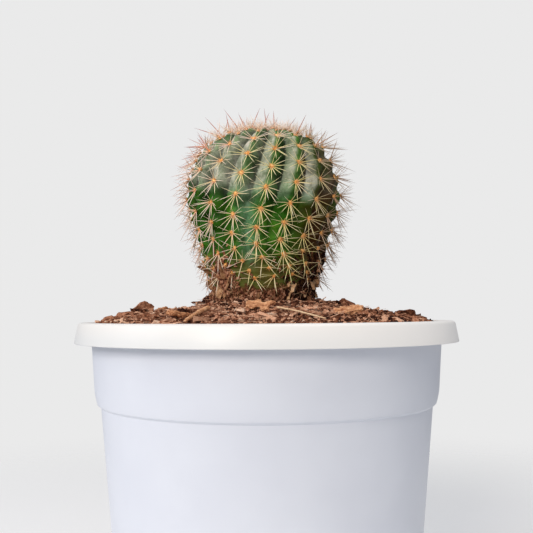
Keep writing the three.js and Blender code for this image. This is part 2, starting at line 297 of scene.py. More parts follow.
def makePlastic():
    # White polypropylene, injection moulded: a soft gloss with a faint waviness, whiter where it is
    # thick, and a little blue-grey where the thin wall lets the dark mix behind it show.
    material, tree, shader, read = startMaterial("whitePolypropylene", plastic)
    wall = addNode(tree, "ValToRGB", {"stops": plastic["wall"]}, {"Fac": read["cloud"]})
    upper = {"From Min": (potTop - 6) * mm, "From Max": (potTop - 1) * mm}
    warmth = addNode(tree, "MapRange", upper, {"Value": read["z"]})
    rimTone = addNode(tree, "ValToRGB", {"stops": plastic["rim"]}, {"Fac": warmth})
    # Painted light: the rim is painted whiter towards the side away from the window, where the lamps
    # light it less.
    away = addNode(tree, "MapRange", {"From Min": -5 * mm, "From Max": 55 * mm}, {"Value": read["x"]})
    paintedRimLight = addNode(tree, "Mix", {**colourMix, 7: plastic["paintedRimLight"]}, {0: away, 6: rimTone})
    skirt = potTop - pot["rimDrop"]
    edge = {"From Min": (skirt - 0.4) * mm, "From Max": (skirt + 0.2) * mm}
    rim = addNode(tree, "MapRange", edge, {"Value": read["z"]})
    tone = addNode(tree, "Mix", colourMix, {0: rim, 6: wall, 7: paintedRimLight})
    # Dust of the mix lies on the rim's inner lip.
    inner = {"From Min": (pot["neckRadius"] + 2.6) * mm, "From Max": (pot["neckRadius"] - 1.6) * mm}
    lip = addNode(tree, "MapRange", inner, {"Value": axisDistance(tree, read["place"])})
    around = {"operation": "MULTIPLY_ADD", 1: 0.5, 2: -0.25}
    uneven = addNode(tree, "Math", around, {0: read["drift"]})
    spread = addNode(tree, "Math", adding, {0: read["grit"], 1: uneven})
    grains = addNode(tree, "MapRange", {"From Min": 0.5, "From Max": 0.66}, {"Value": spread})
    brim = {"From Min": (potTop - 1.2) * mm, "From Max": (potTop - 0.4) * mm}
    top = addNode(tree, "MapRange", brim, {"Value": read["z"]})
    dust = addNode(tree, "Math", multiplying, {0: lip, 1: grains})
    dusty = addNode(tree, "Math", multiplying, {0: dust, 1: top})
    colour = addNode(tree, "Mix", {**colourMix, 7: plastic["dust"]}, {0: dusty, 6: tone})
    # The moulding is wavy over some 20 mm, and has a fine grain.
    wavy = {"Strength": 0.15, "Distance": 2 * mm}
    waves = addNode(tree, "Bump", wavy, {"Height": read["swell"]})
    fine = {"Strength": 0.05, "Distance": 0.3 * mm}
    relief = addNode(tree, "Bump", fine, {"Height": read["grain"], "Normal": waves})
    dull, duller = plastic["gloss"]
    scuff = addNode(tree, "MapRange", {"To Min": dull, "To Max": duller}, {"Value": read["cloud"]})
    plug(tree, shader, {"Base Color": colour, "Normal": relief, "Roughness": scuff})
    return material


def spinProfile(verts, bm, sides, snap):  # spins a chain of vertices all the way round
    edges = [bm.edges.new(pair) for pair in zip(verts, verts[1:])]
    bmesh.ops.spin(
        bm, geom=verts + edges, axis=(0, 0, 1), cent=(0, 0, 0), steps=sides, angle=2 * pi, use_merge=True
    )
    bmesh.ops.remove_doubles(bm, verts=bm.verts, dist=snap)
    bmesh.ops.recalc_face_normals(bm, faces=bm.faces)


def spinOutline(outline, sides):  # of [radius, height] points
    bm = bmesh.new()
    verts = [bm.verts.new((radius * mm, 0, height * mm)) for radius, height in outline]
    spinProfile(verts, bm, sides, 1e-7)
    return bm


def bevelRings(bm, rings):  # rounds the edges that run round at a ring's radius and height
    snap = pot["snap"] * mm
    for radius, height, width in rings:
        ring = {
            vert for vert in bm.verts
            if abs(vert.co.xy.length - radius * mm) < snap and abs(vert.co.z - height * mm) < snap
        }
        edges = [edge for edge in bm.edges if ring.issuperset(edge.verts)]
        bmesh.ops.bevel(
            bm, geom=edges, offset=width * mm, segments=4, profile=0.5, affect="EDGES", material=-1
        )


def makePot():
    skirt = potTop - pot["rimDrop"]
    underRim = potTop - pot["wall"]
    ring = pot["footRadius"] - pot["footWidth"]
    step, bulge, base = pot["stepHeight"], pot["bulgeHeight"], pot["floor"]
    outline = [  # radius, height, and how far the edge there is rounded
        (0, pot["footLift"], 0),
        (ring - 1.1, pot["footLift"], 0.4),
        (ring, 0, 0.4),
        (pot["footRadius"] - 0.1, 0, 1),
        (pot["stepRadius"], step, 0.25),
        (pot["stepRadius"] + 1.3, step + 0.8, 0.5),
        (pot["bulgeRadius"], bulge, 3),
        (pot["neckRadius"], underRim, 0.5),
        (pot["rimTopRadius"] - pot["wall"], underRim, 0.6),
        (rimRadius - pot["wall"], skirt, 0.3),
        (rimRadius, skirt, 0.35),
        (pot["rimTopRadius"], potTop, 1.1),
        (innerRadius(potTop), potTop, 0.7),
        (innerRadius(bulge), bulge, 0),
        (innerRadius(step), step, 0),
        (innerRadius(base), base, 1.2),
        (0, base, 0),
    ]
    bm = spinOutline([row[:2] for row in outline], pot["sides"])
    bevelRings(bm, [row for row in outline if row[2]])
    blank = addObject("potBlank", toMesh("potBlank", bm))

    # The drain holes are cut through the floor, the last one in the middle.
    cutters = bmesh.new()
    holes, radius = pot["drainHoles"], pot["drainRadius"] * mm
    for i in range(holes + 1):
        turn = 2 * pi * i / holes
        out = pot["drainCircle"] * mm if i < holes else 0
        place = Matrix.Translation((out * sin(turn), -out * cos(turn), base * mm / 2))
        bmesh.ops.create_cone(
            cutters, cap_ends=True, segments=pot["drainSides"], radius1=radius, radius2=radius,
            depth=3 * base * mm, matrix=place,
        )
    drills = addObject("drills", toMesh("drills", cutters))
    cut = blank.modifiers.new("drain", "BOOLEAN")
    cut.object = drills
    cut.operation = "DIFFERENCE"
    cut.solver = "EXACT"
    bm = applyModifiers(blank)
    bpy.data.objects.remove(drills)
    piece = finishPiece("pot_shell", bm, makePlastic(), ["pot"])
    piece.data.set_sharp_from_angle(angle=radians(pot["sharpFrom"]))


makePot()


# Potting mix

mix = {
    "edge": potTop - 0.6,  # height at the pot's wall
    "top": potTop + 8.6,  # height at the cactus
    "topRadius": 20,
    "power": 0.85,
    "gap": 0.3,
    "clods": [  # x, y, radius, height
        (-49.8, -3, 4.2, 3.8),
        (-56, 0, 4, 1.9),
        (-63.5, -2, 3.2, 2.2),
        (-33, -2, 8, -1.2),
        (-30, 34, 5, 2.2),
        (20, 46, 4.5, 2.4),
        (27, 8, 5, 0.7),
        (-23.5, -3, 4.2, 3.4),
        (-9, -23, 3.6, 1.4),
        (10, -23.5, 4, 1.1),
        (20, -15, 3.5, 1.3),
        (-16, 18, 4, 1.6),
        (5, 24, 5, 1.6),
        (33, -4, 4, 1.4),
        (44, 30, 5, 1.6),
        (56.5, 2, 4, 2.3),
        (62.5, -1, 3, 1.2),
    ],
    "sides": 360,
    "rings": 150,
    "swellSize": 9,  # of the broad ups and downs, and how far they stand up
    "swellHeight": 0.5,
    "lumpSize": 4.5,  # of the cloddy lumps
    "lumpHeight": 0.9,
    "gritSize": 1.3,
    "gritHeight": 0.42,
    "even": (61, 66),  # the bed grows even between these radii
    "sink": 0.8,  # the bed lies under the crumbs
    "crumbSeed": 3,
    "crumbs": 8600,
    "chipSeed": 5,
    "lumps": 70,
    "chips": 560,
    "flakes": 90,
    "splinters": 700,
}
litter = {
    "surface": {"Roughness": 0.95, "Specular IOR Level": 0.15},
    "patterns": {  # width in mm, detail and roughness
        "grain": (1.4286, 6, 0.75),
        "rough": (0.6667, 4, 0.7),
    },
    "shadeDarkening": 0.2,  # how much the painted shade darkens the mix on its far side and beside the plant
    "mix": [
        (0, "#260e07"), (0.2, "#57301f"), (0.38, "#956147"),
        (0.58, "#c89578"), (0.82, "#ddb092"), (1, "#e6c6ae"),
    ],
    "bark": [(0, "#3b1c10"), (0.3, "#7c4a30"), (0.55, "#b27b58"), (0.78, "#d69e74"), (1, "#e9c098")],
    "straw": [(0, "#6b4630"), (0.35, "#9c7150"), (0.65, "#c79c75"), (1, "#e8cba8")],
}


def isClod(x, y, lift):  # and not a heap at the neck
    return lift > 1.1 and hypot(x, y) > 30


def moundHeight(x, y):
    edge = innerRadius(potTop)
    share = np.clip((edge - np.hypot(x, y)) / (edge - mix["topRadius"]), 0, 1)
    height = mix["edge"] + (mix["top"] - mix["edge"]) * share ** mix["power"]
    for clodX, clodY, radius, lift in mix["clods"]:
        height = height + lift * np.exp(-((x - clodX) ** 2 + (y - clodY) ** 2) / radius**2)
    return height


def crumble(x, y):  # small ups and downs of the mix, in mm
    place = Vector((x, y, 0))
    lump = noise.voronoi(place / mix["lumpSize"])[0]
    crack = min(lump[1] - lump[0], 0.25) - 0.25
    lumpy = (0.45 - lump[0]) * mix["lumpHeight"] * 1.4 + crack * 1.6
    swell = noise.fractal(place / mix["swellSize"], 1, 2, 3) * mix["swellHeight"]
    grit = noise.fractal(place / mix["gritSize"] + Vector((9, 4, 2)), 0.8, 2, 3) * mix["gritHeight"]
    rest = 1 - smooth(hypot(x, y), *mix["even"])
    return (swell + lumpy) * (0.3 + 0.7 * rest) + grit - mix["sink"]


def makeLitterMaterial(name, stops, shadeDarkening=0):
    # Composted bark and coir: dry, crumbly and matt, red-brown with tan and nearly black bits. Loose
    # bark and straw have the same grain in their own colours.
    material, tree, shader, read = startMaterial(name, litter, ["tint"])
    centred = {"operation": "MULTIPLY_ADD", 1: 1.3, 2: -0.65}
    shift = addNode(tree, "Math", centred, {0: read["grain"]})
    # Painted shade: the mix is darker on the side away from the window and beside the plant, where less
    # light falls.
    right = {"From Min": 6 * mm, "From Max": 42 * mm, "To Max": -shadeDarkening}
    farSideShade = addNode(tree, "MapRange", right, {"Value": read["x"]})
    inner = {"From Min": 34 * mm, "From Max": 22 * mm, "To Max": -0.6 * shadeDarkening}
    near = addNode(tree, "MapRange", inner, {"Value": axisDistance(tree, read["place"])})
    paintedShade = addNode(tree, "Math", adding, {0: farSideShade, 1: near})
    grainAndShade = addNode(tree, "Math", adding, {0: shift, 1: paintedShade})
    mixed = addNode(tree, "Math", {**adding, "use_clamp": True}, {0: read["tint"], 1: grainAndShade})
    colour = addNode(tree, "ValToRGB", {"stops": stops}, {"Fac": mixed})
    bump = addNode(tree, "Bump", {"Strength": 0.8, "Distance": 0.5 * mm}, {"Height": read["rough"]})
    plug(tree, shader, {"Base Color": colour, "Normal": bump})
    return material


mixMaterial = makeLitterMaterial("barkMix", litter["mix"], litter["shadeDarkening"])
barkMaterial = makeLitterMaterial("dryBark", litter["bark"])
strawMaterial = makeLitterMaterial("dryStraw", litter["straw"])


def makeMixBed():
    bottom = pot["floor"] + mix["gap"]
    shoulder = potTop - 1.9
    wallHeights = [bottom, pot["stepHeight"], pot["bulgeHeight"], shoulder]
    wall = [(innerRadius(height) - mix["gap"], height) for height in wallHeights]
    top = [(radius, potTop) for radius in np.linspace(innerRadius(potTop) - 0.7, 0, mix["rings"])]
    bm = spinOutline([(0, bottom)] + wall + top, mix["sides"])
    tint = bm.verts.layers.float.new("tint")
    for vert in bm.verts:
        vert[tint] = 0.3
        if vert.co.z > (shoulder + 0.1) * mm:
            x, y = vert.co.x / mm, vert.co.y / mm
            lift = crumble(x, y)
            vert.co.z = (moundHeight(x, y) + lift) * mm
            # Painted shade and light: the bed is tinted darker in its hollows and lighter on its bumps.
            vert[tint] = 0.38 + 0.22 * lift
    bmesh.ops.recalc_face_normals(bm, faces=bm.faces)
    finishPiece("mix_bed", bm, mixMaterial, ["soil"])


makeMixBed()


def roughen(bm, amount, size, seed):  # moves each vertex by noise, in the shape's own units
    for vert in bm.verts:
        place = vert.co / size + Vector((seed * 7.3, seed * 3.1, seed))
        vert.co += noise.noise_vector(place) * amount


def crumbShape(seed, subdivisions=1):  # a grain of about 1 across
    bm = bmesh.new()
    bmesh.ops.create_icosphere(bm, subdivisions=subdivisions, radius=0.5)
    bmesh.ops.scale(bm, vec=(1, 0.8, 0.7), verts=bm.verts)
    roughen(bm, 0.35, 0.5, seed)
    if subdivisions > 1:
        roughen(bm, 0.14, 0.16, seed + 5)
    return toMesh(f"crumb{seed}", bm)


def chipShape(seed):  # a splintered block of bark, 1 long, lying flat
    bm = bmesh.new()
    bmesh.ops.create_cube(bm, size=1)
    bmesh.ops.scale(bm, vec=(1, 0.45, 0.22), verts=bm.verts)
    bmesh.ops.subdivide_edges(bm, edges=bm.edges, cuts=1, use_grid_fill=True)
    roughen(bm, 0.24, 0.4, seed)
    return toMesh(f"chip{seed}", bm)


def flakeShape(seed):  # a thin curled flake of bark, 1 long, pointed at +X
    bm = bmesh.new()
    bmesh.ops.create_grid(bm, x_segments=6, y_segments=4, size=0.5)
    bmesh.ops.scale(bm, vec=(1, 0.5, 1), verts=bm.verts)
    for vert in bm.verts:
        vert.co.y *= 1 - 1.6 * vert.co.x**2 if vert.co.x > 0 else 1
        vert.co.z += vert.co.y**2 - 0.12 * vert.co.x**2
    roughen(bm, 0.16, 0.3, seed)
    bmesh.ops.solidify(bm, geom=bm.faces[:], thickness=0.07)
    bmesh.ops.recalc_face_normals(bm, faces=bm.faces)
    return toMesh(f"flake{seed}", bm)


def addRing(bm, place, direction):  # adds a ring of edges where the plane crosses the shape
    everything = bm.verts[:] + bm.edges[:] + bm.faces[:]
    bmesh.ops.bisect_plane(bm, geom=everything, plane_co=place, plane_no=direction)


def threadShape(seed, bend, sides=4, cuts=5):
    # A tapered thread along +X, 1 long and 1 thick, with its bend in thicknesses.
    bm = bmesh.new()
    lying = Matrix.Rotation(pi / 2, 4, "Y")
    bmesh.ops.create_cone(
        bm, cap_ends=True, segments=sides, radius1=0.5, radius2=0.22, depth=1, matrix=lying
    )
    for cut in range(1, cuts + 1):
        addRing(bm, (cut / (cuts + 1) - 0.5, 0, 0), (1, 0, 0))
    for vert in bm.verts:
        x = vert.co.x
        vert.co.y += 2 * bend * (x**2 - 0.1) + 0.3 * bend * sin(7 * x + seed)
        vert.co.z += 0.3 * bend * sin(5 * x + 2 * seed)
    return toMesh(f"thread{seed}", bm)


def stamp(bm, shape, matrix, marks):
    # Adds a placed copy of a small shape, with its marks as attributes for the material.
    copy = shape.copy()
    copy.transform(matrix)
    for name, value in marks.items():
        attribute = copy.attributes.get(name) or copy.attributes.new(name, "FLOAT", "POINT")
        attribute.data.foreach_set("value", np.full(len(copy.vertices), value, np.float32))
    bm.from_mesh(copy)
    bpy.data.meshes.remove(copy)


def onMound(draw, low=19, high=66.3):  # a random place on the mix, off the big clods
    clods = [(x, y, 0.7 * radius) for x, y, radius, lift in mix["clods"] if isClod(x, y, lift)]
    while True:
        radius = sqrt(draw.uniform(low**2, high**2))
        turn = draw.uniform(0, 2 * pi)
        x, y = radius * cos(turn), radius * sin(turn)
        if not any(hypot(x - clodX, y - clodY) < reach for clodX, clodY, reach in clods):
            return x, y, float(moundHeight(x, y)) + crumble(x, y)


def scaled(size):  # a matrix for a size in mm
    return Matrix.Diagonal([part * mm for part in size] + [1])


def lying(draw, place, size, tilt):  # a matrix for a shape that lies on the mix, turned at random
    turn = Matrix.Rotation(draw.uniform(0, 2 * pi), 4, "Z")
    leanX = Matrix.Rotation(draw.gauss(0, tilt), 4, "X")
    lean = leanX @ Matrix.Rotation(draw.gauss(0, tilt), 4, "Y")
    return Matrix.Translation(Vector(place) * mm) @ turn @ lean @ scaled(size)


def makeCrumbs():
    draw = random.Random(mix["crumbSeed"])
    grains = [crumbShape(i) for i in range(8)]
    bm = bmesh.new()
    for i in range(mix["crumbs"]):
        x, y, z = onMound(draw)
        size = 0.45 + 1.1 * draw.random() ** 2.5
        shape = (size * draw.uniform(0.9, 1.6), size, size * 0.8)
        matrix = lying(draw, (x, y, z + 0.12 * size), shape, 0.7)
        stamp(bm, draw.choice(grains), matrix, {"tint": draw.betavariate(2, 2.05)})
    finishPiece("mix_crumbs", bm, mixMaterial, crisp=True)


def makeChips():
    draw = random.Random(mix["chipSeed"])
    lumps = [crumbShape(20 + i, 3) for i in range(4)]
    chips = [chipShape(i) for i in range(8)]
    flakes = [flakeShape(i) for i in range(6)]
    threads = [threadShape(i, bend) for i, bend in enumerate((0.8, 2, -1.4, 3.2))]
    bm = bmesh.new()
    for i in range(mix["lumps"]):
        x, y, z = onMound(draw, 22, 63)
        size = draw.uniform(1.6, 3.8)
        matrix = lying(draw, (x, y, z - 0.05 * size), (size * 1.2, size, size * 0.6), 0.3)
        stamp(bm, draw.choice(lumps), matrix, {"tint": draw.uniform(0.3, 0.6)})
    for x, y, radius, lift in mix["clods"]:
        if isClod(x, y, lift):
            place = Vector((x, y, float(moundHeight(x, y)) - 0.6 * radius - 0.5)) * mm
            # The clods rise towards the cactus.
            lean = Matrix.Rotation(-0.35 if x < 0 else 0.2, 4, "Y")
            size = scaled((radius * 2.1, radius * 1.6, radius * 1.6))
            stamp(bm, draw.choice(lumps), Matrix.Translation(place) @ lean @ size, {"tint": 0.45})
    for i in range(mix["chips"]):
        x, y, z = onMound(draw)
        length = 1.5 + 5.5 * draw.random() ** 2
        size = (length, length * draw.uniform(0.35, 1), length * draw.uniform(0.5, 1))
        chip = draw.choice(chips)
        matrix = lying(draw, (x, y, z + 0.1), size, 0.24)
        stamp(bm, chip, matrix, {"tint": draw.betavariate(2, 1.8)})
    for i in range(mix["flakes"]):
        x, y, z = onMound(draw, 23, 62)
        length = draw.uniform(3, 6)
        size = (length, length * draw.uniform(0.6, 1.2), length * draw.uniform(0.7, 1.2))
        flake = draw.choice(flakes)
        matrix = lying(draw, (x, y, z + 0.35), size, 0.22)
        stamp(bm, flake, matrix, {"tint": draw.betavariate(3, 1.6)})
    for i in range(mix["splinters"]):
        x, y, z = onMound(draw, 21, 65)
        thick = 0.14 + 0.6 * draw.random() ** 2.5
        matrix = lying(draw, (x, y, z + 0.3), (draw.uniform(2.5, 9), thick, thick), 0.1)
        stamp(bm, draw.choice(threads), matrix, {"tint": draw.uniform(0.4, 0.95)})
    finishPiece("mix_chips", bm, mixMaterial, crisp=True)


makeCrumbs()
makeChips()


# Loose bark and stalks on the mix

forked = [
    (-5, -1.5), (-2.6, -2.9), (-0.4, -1.2), (1.4, -4.2), (3.6, -3.4), (3.1, -0.3),
    (5.2, 2.6), (2.9, 3.3), (0.4, 1.6), (-1.6, 3.1), (-5.4, 2.7),
]
slab = [(-5.6, -1.6), (-1.2, -3), (3.8, -2.1), (5.9, 0.2), (4.1, 2.6), (-0.8, 2.9), (-4.6, 1.5)]
bark = {  # outline, thickness, x, y, turns in degrees, lift above the mix, tint
    "bark_forked_front": (forked, 1.3, -2, -40, (26, 4, -12), 0.9, 0.66),
    "bark_slab_right": (slab, 1.8, 29, -37, (20, -9, 12), 0, 0.68),
    "bark_slab_left": (slab, 1.5, -30, -47, (6, 6, 60), 0.8, 0.6),
    "bark_slab_back_right": (slab, 1.6, 34, 33, (-10, -8, 140), 1.4, 0.45),
    "bark_forked_back": (forked, 1.4, -12, 43, (-8, 0, 200), 1.4, 0.6),
    "bark_slab_back_left": (slab, 1.7, -44, 18, (0, 6, 95), 0.8, 0.55),
}
relief = {
    "grain": 0.28,
    "grainWidth": 0.45,
    "grainLength": 3,
    "layer": 0.35,
    "flaking": 0.5,
    "flakeSize": 1.7,
    "crumple": 0.55,
    "crumpleLength": 2.6,
    "crumpleWidth": 2.2,
    "onFaces": 0.45,
    "onEdges": 1.1,
    "edgeRound": 0.3,
    "voxel": 0.22,
}
stalks = {  # from, to, radius, lift above the mix, tint
    "straw_front": ((3.8, -43.3), (19.2, -59.3), 0.5, 0.7, 0.85),
    "straw_back": ((4, 31), (17, 53), 0.55, 0.8, 0.8),
    "twig_left": ((-20.7, -37.7), (-26.5, -58.5), 0.9, 0.6, 0.75),
}
stalk = {
    "steps": 36,
    "sides": 12,
    "taper": 0.62,
    "bend": 0.5,
    "knots": [(0.42, 0.25), (0.78, 0.2)],  # place along it, and how much thicker
    "knotLength": 0.02,
    "flat": 0.75,  # of straw: a twig is round
}


def remeshed(bm, voxel):  # one closed skin of even squares, so that fine relief can be pressed in
    blank = addObject("blank", toMesh("blank", bm))
    even = blank.modifiers.new("even", "REMESH")
    even.mode = "VOXEL"
    even.voxel_size = voxel * mm
    return applyModifiers(blank)


def makeBark(name, outline, thick, x, y, turns, lift, shade):
    bm = bmesh.new()
    corners = [bm.verts.new((px * mm, py * mm, -thick * mm / 2)) for px, py in outline]
    grown = bmesh.ops.extrude_face_region(bm, geom=[bm.faces.new(corners)])["geom"]
    top = [part for part in grown if isinstance(part, bmesh.types.BMVert)]
    bmesh.ops.translate(bm, vec=(0, 0, thick * mm), verts=top)
    bmesh.ops.recalc_face_normals(bm, faces=bm.faces)
    width = relief["edgeRound"] * mm
    bmesh.ops.bevel(
        bm, geom=bm.edges[:], offset=width, segments=2, profile=0.5, affect="EDGES", material=-1
    )
    bm = remeshed(bm, relief["voxel"])
    bm.normal_update()
    tint = bm.verts.layers.float.new("tint")
    moves = []
    for vert in bm.verts:
        place = vert.co / mm
        # Bark splits in layers and along its grain, which runs along the bit.
        layer = place.z / relief["layer"] + x
        across = place.y / relief["grainWidth"]
        grain = noise.noise(Vector((place.x / relief["grainLength"], across, layer)))
        flaking = noise.fractal(place / relief["flakeSize"] + Vector((x, y, 0)), 0.9, 2, 3)
        ragged = relief["grain"] * grain + relief["flaking"] * flaking
        fold = Vector((place.x / relief["crumpleLength"] + y, place.y / relief["crumpleWidth"], 0))
        crumple = relief["crumple"] * noise.noise(fold)
        share = relief["onFaces"] if abs(vert.normal.z) > 0.7 else relief["onEdges"]
        move = vert.normal * ragged * share
        moves.append((move + Vector((0, 0, crumple))) * mm)
        vert[tint] = shade + 0.35 * grain + 0.1 * flaking
    for vert, move in zip(bm.verts, moves):
        vert.co += move
    turnX, turnY, turnZ = (Matrix.Rotation(radians(turn), 4, axis) for turn, axis in zip(turns, "XYZ"))
    place = Matrix.Translation(Vector((x, y, float(moundHeight(x, y)) + lift)) * mm)
    bmesh.ops.transform(bm, matrix=place @ turnZ @ turnY @ turnX, verts=bm.verts)
    finishPiece(name, bm, barkMaterial, [name], crisp=True)


def makeStalk(name, start, end, radius, lift, shade):
    bm = bmesh.new()
    upright = Matrix.Translation((0, 0, 0.5))
    bmesh.ops.create_cone(
        bm, cap_ends=True, segments=stalk["sides"], radius1=radius, radius2=stalk["taper"] * radius,
        depth=1, matrix=upright,
    )
    for cut in range(1, stalk["steps"]):
        addRing(bm, (0, 0, cut / stalk["steps"]), (0, 0, 1))
    tint = bm.verts.layers.float.new("tint")
    line = Vector((end[0] - start[0], end[1] - start[1], 0)).normalized()
    side = Vector((-line.y, line.x, 0))
    twig = name.startswith("twig")
    for vert in bm.verts:
        share = vert.co.z
        x = start[0] + (end[0] - start[0]) * share
        y = start[1] + (end[1] - start[1]) * share + stalk["bend"] * sin(5 * share)
        angle = np.arctan2(vert.co.y, vert.co.x)
        # Straw is grooved along its length and a little flat; a twig is knobbly and has nodes.
        reach = stalk["knotLength"]
        knots = sum(height * np.exp(-(((share - at) / reach) ** 2)) for at, height in stalk["knots"])
        if twig:
            size = 1 + 0.12 * noise.noise(Vector((angle, share * 9, 1))) + knots
        else:
            size = 1 + 0.1 * sin(5 * angle) + 0.5 * knots
        kink = 0.35 * noise.noise(Vector((share * 4, x, 0)))
        ragged = 0.5 * noise.noise(Vector((angle * 1.5, share * 3, y))) if share in (0, 1) else 0
        height = float(moundHeight(x, y)) + lift + vert.co.y * size * (1 if twig else stalk["flat"])
        along = Vector((x, y, height)) + line * ragged
        vert[tint] = shade + 0.25 * noise.noise(Vector((angle * 2, share * 2, y)))
        vert.co = (along + side * (vert.co.x * size + kink)) * mm
    bmesh.ops.recalc_face_normals(bm, faces=bm.faces)
    material, slot = (barkMaterial, "bark") if twig else (strawMaterial, "straw")
    finishPiece(name, bm, material, [name])


for name, values in bark.items():
    makeBark(name, *values)
for name, values in stalks.items():
    makeStalk(name, *values)


# Cactus

plant = {
    "x": -0.9,  # mm left of the pot's middle
    "foot": potTop + 8.6,  # height at which the neck leaves the mix
    "ribs": 18,
    "frontRib": 0.5,  # azimuth of the front rib at mid length
    "crest": [  # radius and height above the mix, from the crown to the neck
        (0, 67.4),
        (9, 67.1),
        (17, 65),
        (23.6, 60.8),
        (27.9, 54),
        (30.3, 46.6),
        (30.7, 39),
        (28.6, 31),
        (26.2, 22.5),
        (24.2, 15),
        (22.2, 8),
        (20.8, 0),
    ],
    "root": [(19.2, -6), (14, -14), (7, -23), (0, -30)],
    "furrowDepth": 3,
    "notchDepth": 1.2,
    "pinch": 0.28,
    "chinOffset": 0.12,
    "crownDip": 1.3,
    "neckWear": 1.5,  # on the right
    "uneven": 0.5,
    "unevenSize": 9,
    "wrinkle": 0.35,  # at the neck
    "steepness": 0.35,  # of the areoles' S-curve
    "shift": -0.58,
    "columnsPerRib": 20,
    "rows": 200,
}
skin = {
    "surface": {"Roughness": 0.5, "IOR": 1.45, "Specular IOR Level": 0.08},
    "patterns": {  # width in mm, detail and roughness
        "cloud": (5.882, 5, 0.65),
        "speck": (0.9091, 4, 0.65),
        "pores": (0.45455, 3, 0.6),
    },
    "green": [(0.3, "#1a3f08"), (0.5, "#336a14"), (0.7, "#589026")],
    # painted shade in the furrows and on the flanks facing away from the window
    "furrow": "#10240a",
    # sunburn brown, which also serves as painted shade on the far side
    "scorchedAndShaded": "#40260a",
    "olive": "#6c6232",
    # grey of the wax bloom, which also serves as painted sheen of the window
    "bloomAndSheen": "#c8c6b6",
    "thinBloomAndSheen": "#90c2a0",
    "cork": [(0.3, "#2a160c"), (0.5, "#5a3922"), (0.7, "#8a6442")],
}
ribStep = 360 / plant["ribs"]
divergence = 5 / plant["ribs"]  # how far the areoles climb from one rib to the next


def traceCrest(steps=60):
    # The crest as a smooth curve through its points: distance, radius, height and outward normal.
    points = [np.array(point, float) for point in plant["crest"]]
    last = len(points) - 1
    line = []
    for i in range(last):
        before, start, end = points[max(i - 1, 0)], points[i], points[i + 1]
        after = points[min(i + 2, last)]
        leaving, arriving = (end - before) / 2, (after - start) / 2
        for t in np.arange(steps) / steps:
            cubic = (2 * start - 2 * end + leaving + arriving) * t**3
            square = (3 * end - 3 * start - 2 * leaving - arriving) * t**2
            line.append(cubic + square + leaving * t + start)
    line = np.array(line + [points[-1]])
    along = np.append(0, np.cumsum(np.hypot(*np.diff(line, axis=0).T)))
    tangent = np.gradient(line, along, axis=0)
    tangent /= np.linalg.norm(tangent, axis=1)[:, None]
    return along, np.maximum(line[:, 0], 0), line[:, 1], -tangent[:, 1], tangent[:, 0]


crestTable = traceCrest()
crestLength = crestTable[0][-1]


def ribTwist(along):  # degrees that the ribs have turned: they lean one way, and swing back at the neck
    return 0.5 * (50 - along) + 4.2 * np.log1p(np.exp((along - 68.5) / 2))


def areoleNumber(along):
    share = np.clip(along / crestLength, 0.01, 0.99)
    return (np.log(share / (1 - share)) - plant["shift"]) / plant["steepness"]


def areoleAlong(number):
    return crestLength / (1 + np.exp(-plant["steepness"] * number - plant["shift"]))


def skinRelief(ribPlace, along):
    # How deep the skin lies under the crest line, and how near it is to a furrow, from 0 to 1.
    rib = np.round(ribPlace)
    number = areoleNumber(along) + divergence * rib - plant["chinOffset"]
    notch = (0.5 - 0.5 * np.cos(2 * pi * number)) ** 1.5
    grown = smooth(along, 1, 26)
    withered = 1 - 0.75 * smooth(along, 50, crestLength - 3)
    fade = 1 - smooth(along, crestLength - 7, crestLength - 0.5)
    # The ribs pinch in between their areoles, which turns the furrows into zigzags.
    across = np.minimum(np.abs(2 * (ribPlace - rib)) / (1 - plant["pinch"] * notch * grown), 1)
    ridge = 1 - across**1.9
    depth = plant["furrowDepth"] * (1 - ridge) + plant["notchDepth"] * ridge * notch
    return grown * withered * fade * depth, 1 - ridge * (1 - 0.3 * notch)


def onPlant(azimuth, along, depth):
    # A point at a depth under the crest line, with the directions out of, up and across the skin.
    azimuth, along, depth = np.broadcast_arrays(*(np.asarray(v, float) for v in (azimuth, along, depth)))
    radius, height, outward, upward = (np.interp(along, crestTable[0], row) for row in crestTable[1:])
    turn = np.radians(azimuth)
    level = np.zeros_like(turn)
    # The neck is worn away a little on the right.
    depth = depth + plant["neckWear"] * smooth(along, 74, 86) * np.clip(np.cos(turn - 1.4), 0, 1)
    side = np.stack([np.sin(turn), -np.cos(turn), level], -1)
    right = np.stack([np.cos(turn), np.sin(turn), level], -1)
    out = side * outward[..., None] + np.stack([level, level, upward], -1)
    up = np.cross(out, right)
    dip = plant["crownDip"] * np.exp(-((along / 7) ** 2))
    point = side * radius[..., None] - out * depth[..., None]
    point = point + np.stack([plant["x"] + level, level, plant["foot"] + height - dip], -1)
    return point, out, up, right


def onSkin(azimuth, along, proud):  # a point that stands proud of the skin, with its directions
    relief = skinRelief((azimuth - ribTwist(along)) / ribStep, along)[0]
    return onPlant(azimuth, along, relief - proud)


def facing(azimuth, middle):  # 1 at the middle, in degrees, and 0 on the far side
    return 0.5 + 0.5 * np.cos(np.radians(azimuth - middle))


def farSide(azimuth, start, full, fade=120, end=170):
    # The side away from the window: from start to full degrees on the right, and not behind.
    return smooth(azimuth, start, full) * smooth(-azimuth, -end, -fade)


def corkAt(azimuth, along):
    # How corky and brown the skin is: at the neck, higher on the right, and in a patch on the left.
    neck = smooth(along, 80.5, 88)
    right = smooth(along, 63, 84) * farSide(azimuth, 28, 58, end=165)
    left = np.exp(-(((azimuth + 44) / 11) ** 2) - ((along - 79) / 6) ** 2)
    return np.clip(neck + 0.9 * right + left, 0, 1)


